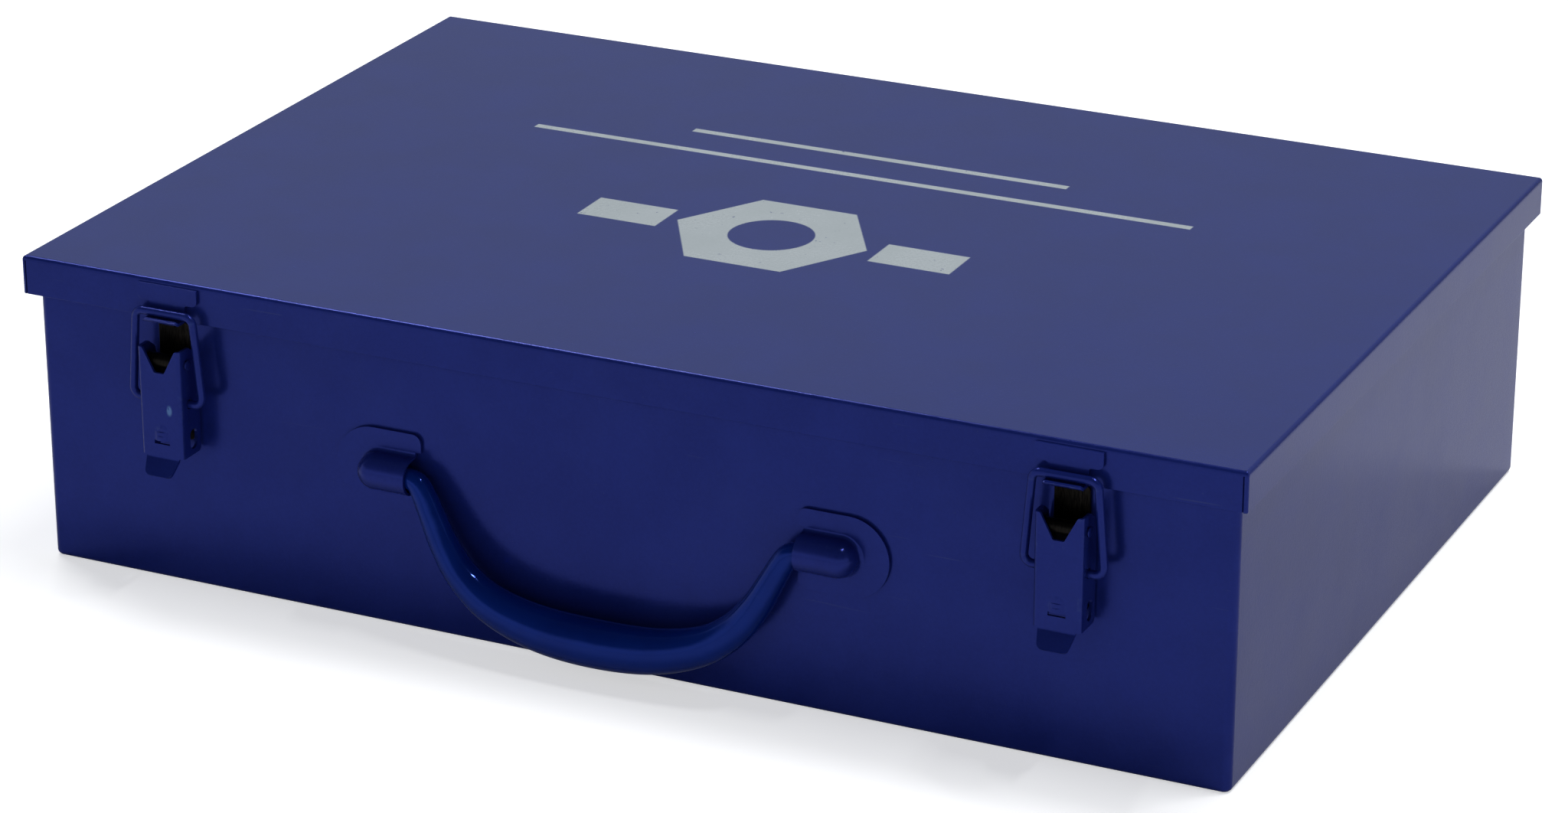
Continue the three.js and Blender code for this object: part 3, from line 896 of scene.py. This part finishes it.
latchBase = {
    "width": 12.0,
    "sheet": 1.0,
    "gap": 0.3,
    "foot": 54.0,
    # the plate runs up past the pivot to here as a near-black sheet that stands in for painted shade
    # and painted reflection in the pocket under the keeper
    "head": 96.0,
    "knee": 72.5,
    "barrel": 2.6,
    "rivets": (60.0, 68.0),
    "rivetHole": 1.8,
}


def curl(start, centre, radius, ends, steps=26):
    # points from start, along the tangent to a circle and round it through ends degrees
    away = Vector(start) - Vector(centre)
    base = math.atan2(away.y, away.x)
    lead = math.acos(radius / away.length)
    first = base + (lead if ends > 0 else -lead)
    points = [Vector(start)]
    for swing in sweep(math.radians(ends), steps):
        angle = first + swing
        points.append(Vector(centre) + Vector((math.cos(angle), math.sin(angle))) * radius)
    return points


def foldStrip(name, line, middle, way, outline, holes, thickness, leftSide, lift=None):
    # A strip that follows a line of (out, z) points; outline is (across, along).
    # leftSide says on which hand of the line the sheet's thickness lies.
    wall = frontWall if way < 0 else rearWall
    width = 60
    flip = (way > 0) == leftSide

    def place(u, v):
        out, z = line.at(v)
        return vec(middle + u, wall + way * out, z)

    folds = [((-width, m), (width, m)) for m in line.marks[1:-1]]
    return fromSheet(name, outline, holes, folds, lift or place, thickness, flip)


def buildLatchBase(side):
    middle = middleOf(side + "_latch_base").x
    spec = latchBase
    half = spec["width"] / 2
    face = spec["gap"] + spec["sheet"]
    plateLine = BentLine([(face, spec["head"]), (face, spec["foot"])], 1)
    outline = rounded(
        [(-half, 0), (-half, plateLine.length), (half, plateLine.length), (half, 0)], 1.5, 5
    )
    holes = [circleLoop(0, spec["head"] - z, spec["rivetHole"]) for z in spec["rivets"]]
    name, sheet = side + "BasePlate", spec["sheet"]
    plate = foldStrip(name, plateLine, middle, -1, outline, holes, sheet, False)
    armStart = (face + 0.05, spec["knee"])
    curled = curl(armStart, latch["pivot"], spec["barrel"], 265)
    armLine = BentLine([(face + 0.05, spec["knee"] - 2.5), *curled], 0.6, 2)
    armOutline = [(-half, 0), (half, 0), (half, armLine.length), (-half, armLine.length)]
    arm = foldStrip(side + "BaseArm", armLine, middle, -1, armOutline, [], sheet, True)
    piece = joined(side + "LatchBase", plate, arm)
    return deliver(settle(piece, darkSteelPaintedShade), side + "_latch_base", "case")


keeper = {
    "sheet": 1.0,
    "half": 11.5,
    "tongueHalf": 6.75,
    "top": 109.6,
    "bottom": 103.8,
    "out": 5.0,
    "troughTop": 98.8,
    "lipOut": 9.4,
    "lipTop": 99.25,
}


def buildKeeper(side):
    middle = middleOf(side + "_keeper").x
    spec = keeper
    line = BentLine(
        [
            (spec["out"], spec["top"]),
            (spec["out"], spec["troughTop"]),
            (spec["lipOut"], spec["troughTop"]),
            (spec["lipOut"] + 0.15, spec["lipTop"] + 0.9),
        ],
        0.9,
        5,
    )
    down = spec["top"] - spec["bottom"]
    half, tongue = spec["half"], spec["tongueHalf"]
    end = line.length - 0.75
    points = [
        (-half, 0),
        (-half, down),
        (-tongue, down),
        (-tongue, end),
        (tongue, end),
        (tongue, down),
        (half, down),
        (half, 0),
    ]
    outline = rounded(points, [0.5, 1.8, 1.0, 1.0, 1.0, 1.0, 1.8, 0.5], 5)
    piece = foldStrip(side + "Keeper", line, middle, -1, outline, [], spec["sheet"], False)
    return deliver(settle(piece, bluePaint), side + "_keeper", "lid")


pinShape = {"head": 0.5, "tall": 0.5}


def buildPin(node, name, radius, axis, way, body, material):
    # a pin along X with a low head at its right end and a chamfer at its left
    low, high = spanOf(node)
    wall = frontWall if way < 0 else rearWall
    origin = (low.x, wall + way * axis[0], axis[1])
    length = high.x - low.x
    neck = length - pinShape["tall"]
    head = radius + pinShape["head"]
    profile = [(0, 0), (0, radius - 0.25), (0.25, radius), (neck, radius), (neck, head - 0.1)]
    profile += [(neck + 0.1, head), (neck + 0.3, head - 0.06), (neck + 0.44, head - 0.3)]
    profile += [(length, head - 0.7), (length, 0)]
    piece = turned(name, profile, origin, (1, 0, 0), 28)
    return deliver(settle(piece, material, 40), node, body)


rivet = {
    "shank": 1.5,
    "head": 2.8,
    "tall": 0.8,
    "tail": 2.24,
    # seats: where the outer and inner heads lie, measured out of the wall
    "onLatch": (1.6, -1.3),
    "onTray": (1.8, -1.3),
    "onLid": (5.5, 2.4),
}


def buildRivet(node, name, way, seat, body):
    middle = middleOf(node)
    wall = frontWall if way < 0 else rearWall
    outer, inner = rivet[seat]
    head, tall, shank = rivet["head"], rivet["tall"], rivet["shank"]
    profile = [(inner - tall, 0), (inner - tall, rivet["tail"] - 0.3)]
    profile += [(inner - tall + 0.2, rivet["tail"]), (inner, rivet["tail"]), (inner, shank)]
    profile += [(outer, shank), (outer, head), (outer + 0.12, head)]
    for k in range(1, 8):
        turn = math.pi / 2 * k / 7
        profile.append((outer + 0.12 + (tall - 0.12) * math.sin(turn), head * math.cos(turn)))
    profile[-1] = (outer + tall, 0)
    origin = (middle.x, wall, middle.z)
    piece = turned(name, profile, origin, (0, way, 0), 28)
    return deliver(settle(piece, platedSteel, 40), node, body)


for side in sides:
    buildLever(side)
    buildBail(side)
    buildLatchBase(side)
    buildKeeper(side)
    pin = side + "_latch_pin"
    axis = latch["pivot"]
    buildPin(pin, side + "LatchPin", latch["pin"], axis, -1, "case", bluePaint)
    for number in (1, 2):
        node = f"{side}_latch_rivet_{number}"
        buildRivet(node, f"{side}LatchRivet{number}", -1, "onLatch", "case")
print("latches built")


handle = {
    "pivot": (5.4, 57.0),
    "lean": 7.0,
    "rod": 3.3,
    "grip": 8.15,
    "taper": 104.0,
    "end": 74.0,
    "bow": (
        (84.3, 0.0),
        (78.0, 0.0),
        (71.0, 0.0),
        (67.6, 1.2),
        (65.2, 4.5),
        (62.2, 10.2),
        (56.8, 20.3),
        (50.0, 29.2),
        (40.0, 36.6),
        (23.0, 42.0),
        (0.0, 43.7),
    ),
    "rings": 150,
}


def splineThrough(points, count):
    # a centripetal Catmull-Rom line resampled to even steps
    padded = [points[0] * 2 - points[1], *points, points[-1] * 2 - points[-2]]
    fine = []
    for p0, p1, p2, p3 in zip(padded, padded[1:], padded[2:], padded[3:]):
        t1 = (p1 - p0).length ** 0.5
        t2 = t1 + (p2 - p1).length ** 0.5
        t3 = t2 + (p3 - p2).length ** 0.5
        for k in range(24):
            t = t1 + (t2 - t1) * k / 24
            a1 = p0.lerp(p1, t / t1)
            a2 = p1.lerp(p2, (t - t1) / (t2 - t1))
            a3 = p2.lerp(p3, (t - t2) / (t3 - t2))
            b1 = a1.lerp(a2, t / t2)
            b2 = a2.lerp(a3, (t - t1) / (t3 - t1))
            fine.append(b1.lerp(b2, (t - t1) / (t2 - t1)))
    fine.append(points[-1])
    marks = [0.0]
    for a, b in zip(fine, fine[1:]):
        marks.append(marks[-1] + (b - a).length)
    even, i = [], 0
    for k in range(count + 1):
        want = marks[-1] * k / count
        while i < len(marks) - 2 and marks[i + 1] < want:
            i += 1
        even.append(fine[i].lerp(fine[i + 1], (want - marks[i]) / (marks[i + 1] - marks[i])))
    return even


def buildHandle():
    spec = handle
    lean = math.radians(spec["lean"])
    out, pivotZ = spec["pivot"]

    def place(x, drop):
        return Vector((x, frontWall - out - drop * math.sin(lean), pivotZ - drop * math.cos(lean)))

    points = [place(-x, drop) for x, drop in spec["bow"]]
    points += [place(x, drop) for x, drop in reversed(spec["bow"][:-1])]
    centres = splineThrough(points, spec["rings"])
    radii = []
    for centre in centres:
        away = abs(centre.x)
        swell = 0.5 + 0.5 * math.cos(math.pi * away / spec["taper"])
        swell *= 1 - min(away / spec["end"], 1) ** 6
        radii.append((spec["rod"] + (spec["grip"] - spec["rod"]) * swell) * mm)
    # the rod's ends are chamfered
    radii[0] *= 0.8
    radii[-1] *= 0.8
    piece = tube("carryHandle", [c * mm for c in centres], radii, 40)
    return deliver(settle(piece, handleGloss, 45), "carry_handle", "handle")


socket = {
    "sheet": 1.0,
    "gap": 0.3,
    "height": 57.0,
    "radius": 6.3,
    "stand": 4.0,
    "fillet": 1.4,
    "inner": 70.6,
    "outer": 90.4,
    "plateInner": 68.5,
    "plateOuter": 100.5,
    "plateRadius": 14.0,
    "plateHeight": 57.0,
    "plateCorner": 4.0,
}


def buildSocket(side, end):
    spec = socket
    face = spec["gap"] + spec["sheet"]
    centre = spec["outer"] - spec["radius"]
    fillet = spec["fillet"]
    # the hood's profile: (distance from its ridge line, out)
    radius = spec["radius"]
    profile = [(radius + inset, face + rise) for inset, rise in quarter(fillet)]
    for turn in sweep(math.pi / 2, 12):
        profile.append((radius * math.cos(turn), spec["stand"] + radius * math.sin(turn)))
    straight = [spec["inner"] + (centre - spec["inner"]) * k / 4 for k in range(5)]
    path = [(x, 0.0, -1.0) for x in straight[:-1]]
    path += [(centre, math.sin(t), -math.cos(t)) for t in sweep(math.pi, 24)]
    path += [(x, 0.0, 1.0) for x in reversed(straight[:-1])]
    bm = bmesh.new()
    rows = []
    for away, out in profile:
        row = []
        for x, dx, dz in path:
            px, pz = x + dx * away, spec["height"] + dz * away
            row.append(bm.verts.new(vec(end * px, frontWall - out, pz)))
        rows.append(row)
    for a, b in zip(rows, rows[1:]):
        for k in range(len(path) - 1):
            bm.faces.new([a[k], a[k + 1], b[k + 1], b[k]])
    # the plate round the hood's foot
    wide = spec["radius"] + fillet
    foot = [(x + dx * wide, spec["height"] + dz * wide) for x, dx, dz in path]
    top = spec["plateHeight"] + spec["plateRadius"]
    bottom = spec["plateHeight"] - spec["plateRadius"]
    far = spec["plateOuter"] - spec["plateRadius"]
    near = spec["plateInner"]
    arc = [
        (
            far + spec["plateRadius"] * math.cos(t),
            spec["plateHeight"] + spec["plateRadius"] * math.sin(t),
        )
        for t in [math.pi * (k / 28 - 0.5) for k in range(29)]
    ]
    lower = rounded([(near, foot[0][1]), (near, bottom), arc[0]], spec["plateCorner"], 5, False)
    upper = rounded([arc[-1], (near, top), (near, foot[-1][1])], spec["plateCorner"], 5, False)
    loop = [*[tuple(p) for p in lower[:-1]], *arc, *[tuple(p) for p in upper[1:]]]
    loop += [tuple(p) for p in reversed(foot)]
    coords = [Vector(p) for p in loop]
    edges = [(i, (i + 1) % len(coords)) for i in range(len(coords))]
    flat, _, faces, _, _, _ = delaunay_2d_cdt(coords, edges, [], 0, 1e-6)
    made = {}
    for tri in faces:
        middle = sum((flat[i] for i in tri), Vector((0, 0))) / 3
        if insideLoop(middle, loop):
            for i in tri:
                if i not in made:
                    made[i] = bm.verts.new(vec(end * flat[i][0], frontWall - face, flat[i][1]))
            bm.faces.new([made[i] for i in tri])
    bmesh.ops.remove_doubles(bm, verts=bm.verts, dist=2e-6)
    bmesh.ops.recalc_face_normals(bm, faces=bm.faces)
    facing = sum(f.normal.y * f.calc_area() for f in bm.faces)
    if facing > 0:
        bmesh.ops.reverse_faces(bm, faces=bm.faces)
    bmesh.ops.dissolve_limit(bm, angle_limit=math.radians(0.3), verts=bm.verts, edges=bm.edges)
    piece = link(side + "HandleSocket", bm)
    thicken(piece, spec["sheet"], 0.2, 55)
    return deliver(settle(piece, bluePaint), side + "_handle_socket", "case")


buildHandle()
for side, end in sides.items():
    buildSocket(side, end)
print("handle built")


hinge = {
    "half": 30.0,
    "axis": (7.0, 94.5),
    "sheet": 1.2,
    "gap": 0.3,
    "barrel": 3.0,
    "knuckleHalf": 11.0,
    "knuckleGap": 0.5,
    "foot": 64.0,
    "top": 96.6,
    "knee": 85.5,
    "rivetStep": 19.0,
    "trayRivet": 72.0,
    "lidRivet": 104.5,
    "flagTop": 109.0,
    "flagBottom": 97.8,
    "heel": 5.2,
    "pin": 1.5,
    "rivetHole": 1.8,
}


def hingeHoles(along):
    step = hinge["rivetStep"]
    return [circleLoop(x, along, hinge["rivetHole"]) for x in (-step, step)]


def buildTrayLeaf(side):
    spec = hinge
    middle = middleOf(side + "_hinge_tray_leaf").x
    face = spec["gap"] + spec["sheet"]
    curled = curl((face, spec["knee"]), spec["axis"], spec["barrel"], 285)
    line = BentLine([(face, spec["foot"]), *curled], 1.2, 3)
    straight = spec["knee"] - spec["foot"]
    half, inner = spec["half"], spec["knuckleHalf"] + spec["knuckleGap"]
    tongue = inner - 0.6
    tongueTop = spec["top"] - spec["foot"]
    points = [
        (-half, 0),
        (half, 0),
        (half, line.length),
        (inner, line.length),
        (inner, straight - 2),
        (tongue, straight - 2),
        (tongue, tongueTop),
        (-tongue, tongueTop),
        (-tongue, straight - 2),
        (-inner, straight - 2),
        (-inner, line.length),
        (-half, line.length),
    ]
    radii = [2.5, 2.5, 0, 0, 0.2, 0.2, 1.2, 1.2, 0.2, 0.2, 0, 0]
    outline = rounded(points, radii, 5)
    holes = hingeHoles(spec["trayRivet"] - spec["foot"])

    def place(u, v):
        if abs(u) < inner - 0.1:
            return vec(middle - u, rearWall + face, spec["foot"] + v)
        out, z = line.at(v)
        return vec(middle - u, rearWall + out, z)

    name = side + "HingeTrayLeaf"
    piece = foldStrip(name, line, middle, 1, outline, holes, spec["sheet"], False, place)
    return deliver(settle(piece, bluePaint), side + "_hinge_tray_leaf", "case")


def buildLidLeaf(side):
    spec = hinge
    middle = middleOf(side + "_hinge_lid_leaf").x
    out, z = spec["axis"]
    back = out - spec["barrel"]
    turns = [math.radians(180 + 300 * k / 26) for k in range(27)]
    ringPoints = [
        (out + spec["barrel"] * math.cos(t), z + spec["barrel"] * math.sin(t)) for t in turns
    ]
    line = BentLine([(back, spec["flagTop"]), *ringPoints], 0.1, 1)
    down = spec["flagTop"] - spec["flagBottom"]
    half, inner = spec["half"], spec["knuckleHalf"]
    points = [
        (-half, 0),
        (-half, down),
        (-inner, down),
        (-inner, line.length),
        (inner, line.length),
        (inner, down),
        (half, down),
        (half, 0),
    ]
    outline = rounded(points, [2.5, 1.5, 0.6, 0, 0, 0.6, 1.5, 2.5], 5)
    holes = hingeHoles(spec["flagTop"] - spec["lidRivet"])
    sheet = spec["sheet"]
    leaf = foldStrip(side + "LidLeafSheet", line, middle, 1, outline, holes, sheet, True)
    # the heel that stops the lid
    stop = math.radians(20)
    aside = Vector((math.sin(stop), -math.cos(stop)))
    root = Vector(spec["axis"]) + aside * 2.0
    tip = Vector(spec["axis"]) + aside * spec["heel"]
    across = Vector((aside.y, -aside.x)) * 0.6
    heelLine = BentLine([root + across, tip + across], 1)
    heelOutline = rounded(
        [(-inner, 0), (-inner, heelLine.length), (inner, heelLine.length), (inner, 0)], 0.5, 3
    )
    heel = foldStrip(side + "Heel", heelLine, middle, 1, heelOutline, [], sheet, True)
    piece = joined(side + "HingeLidLeaf", leaf, heel)
    return deliver(settle(piece, bluePaint), side + "_hinge_lid_leaf", "lid")


for side in sides:
    buildTrayLeaf(side)
    buildLidLeaf(side)
    pin = side + "_hinge_pin"
    pinBody = "case" if pin in bodies["case"] else "lid"
    axis = hinge["axis"]
    buildPin(pin, side + "HingePin", hinge["pin"], axis, 1, pinBody, platedSteel)
    for number in (1, 2):
        trayNode = f"{side}_hinge_tray_rivet_{number}"
        lidNode = f"{side}_hinge_lid_rivet_{number}"
        buildRivet(trayNode, f"{side}HingeTrayRivet{number}", 1, "onTray", "case")
        buildRivet(lidNode, f"{side}HingeLidRivet{number}", 1, "onLid", "lid")
print("hinges built")


studio = {
    "floorSize": 12.0,
    "floorDeep": (0.84, 0.84, 0.845, 1),
    "floorPale": (0.86, 0.86, 0.865, 1),
    "behind": (
        (0.50, (0.36, 0.39, 0.42)),
        (0.655, (0.38, 0.42, 0.46)),
        (0.72, (0.62, 0.70, 0.82)),
        (0.80, (0.20, 0.22, 0.26)),
        (1.0, (0.04, 0.043, 0.05)),
    ),
    "ahead": (
        (0.50, (0.70, 0.74, 0.80)),
        (0.62, (0.66, 0.70, 0.76)),
        (0.72, (0.10, 0.11, 0.13)),
        (1.0, (0.03, 0.033, 0.04)),
    ),
    "floorGlow": 0.55,
    # each lamp's place, size, power, and whether the paint mirrors it
    "lamps": {
        "broad left": ((-1.1, 0.7, 1.9), (1.0, 0.3), 15, True),
        "strip right": ((0.75, 0.10, 1.9), (0.7, 0.06), 11, True),
        "strip back": ((0.35, 0.45, 2.0), (0.9, 0.06), 11, True),
        "front fill": ((-0.5, -1.8, 1.1), (1.2, 0.8), 3, False),
    },
    "lampTarget": (0, 0, 0.05),
}


def buildFloor():
    half = studio["floorSize"] / 2
    bm = bmesh.new()
    count = 12
    grid = [
        [
            bm.verts.new((-half + 2 * half * i / count, -half + 2 * half * j / count, 0))
            for i in range(count + 1)
        ]
        for j in range(count + 1)
    ]
    for j in range(count):
        for i in range(count):
            bm.faces.new([grid[j][i], grid[j][i + 1], grid[j + 1][i + 1], grid[j + 1][i]])
    floor = link("floor", bm)
    fixed = {"Specular IOR Level": 0.1, "Emission Strength": 1.0}
    material, tree, shader, flow = newMaterial("pale floor", fixed)
    place = flow.place()
    seen = flow.node("ShaderNodeLightPath")  # the glow is for the lens alone
    glow = (*(studio["floorGlow"],) * 3, 1)
    wire(tree, seen.colour((0, 0, 0, 1), glow), shader, "Emission Color")
    cloud = flow.noise(place, 3.0, 3.0)
    wire(tree, cloud.colour(studio["floorDeep"], studio["floorPale"]), shader, "Base Color")
    wire(tree, 0.8 + cloud * 0.1, shader, "Roughness")
    floor.data.materials.append(material)


def areaLight(name, place, size, power, mirrored):
    data = bpy.data.lights.new(name, "AREA")
    data.shape = "RECTANGLE"
    data.size, data.size_y = size
    data.energy = power
    made = bpy.data.objects.new(name, data)
    scene.collection.objects.link(made)
    made.location = place
    aim = Vector(studio["lampTarget"]) - Vector(place)
    made.rotation_euler = aim.to_track_quat("-Z", "Y").to_euler()
    made.visible_glossy = mirrored


def buildWorld():
    world = bpy.data.worlds.new("studio")
    scene.world = world
    world.use_nodes = True
    tree = world.node_tree
    flow = Flow(tree)
    _, along, up = flow.node("ShaderNodeTexCoord").split()
    height = up * 0.5 + 0.5
    behind = flow.node("ShaderNodeValToRGB", {"stops": studio["behind"]}, {0: height})
    ahead = flow.node("ShaderNodeValToRGB", {"stops": studio["ahead"]}, {0: height})
    shade = along.step(-0.3, 0.3).colour(ahead, behind)
    tree.links.new(shade.socket, tree.nodes["Background"].inputs["Color"])


buildFloor()
buildWorld()
for name, lamp in studio["lamps"].items():
    areaLight(name, *lamp)

view = {
    "place": (0.67552, -1.43446, 0.68405),
    "azimuth": 25.402,
    "elevation": 22.112,
    "lens": 112.18,
}


def buildCamera():
    data = bpy.data.cameras.new("camera")
    data.lens = view["lens"]
    data.sensor_width = 36
    data.sensor_fit = "HORIZONTAL"
    camera = bpy.data.objects.new("camera", data)
    scene.collection.objects.link(camera)
    a, e = math.radians(view["azimuth"]), math.radians(view["elevation"])
    ahead = Vector((-math.sin(a) * math.cos(e), math.cos(a) * math.cos(e), -math.sin(e)))
    camera.rotation_mode = "QUATERNION"
    camera.rotation_quaternion = ahead.to_track_quat("-Z", "Y")
    camera.location = view["place"]
    scene.camera = camera


buildCamera()
scene.view_settings.view_transform = "Standard"
print("studio set")
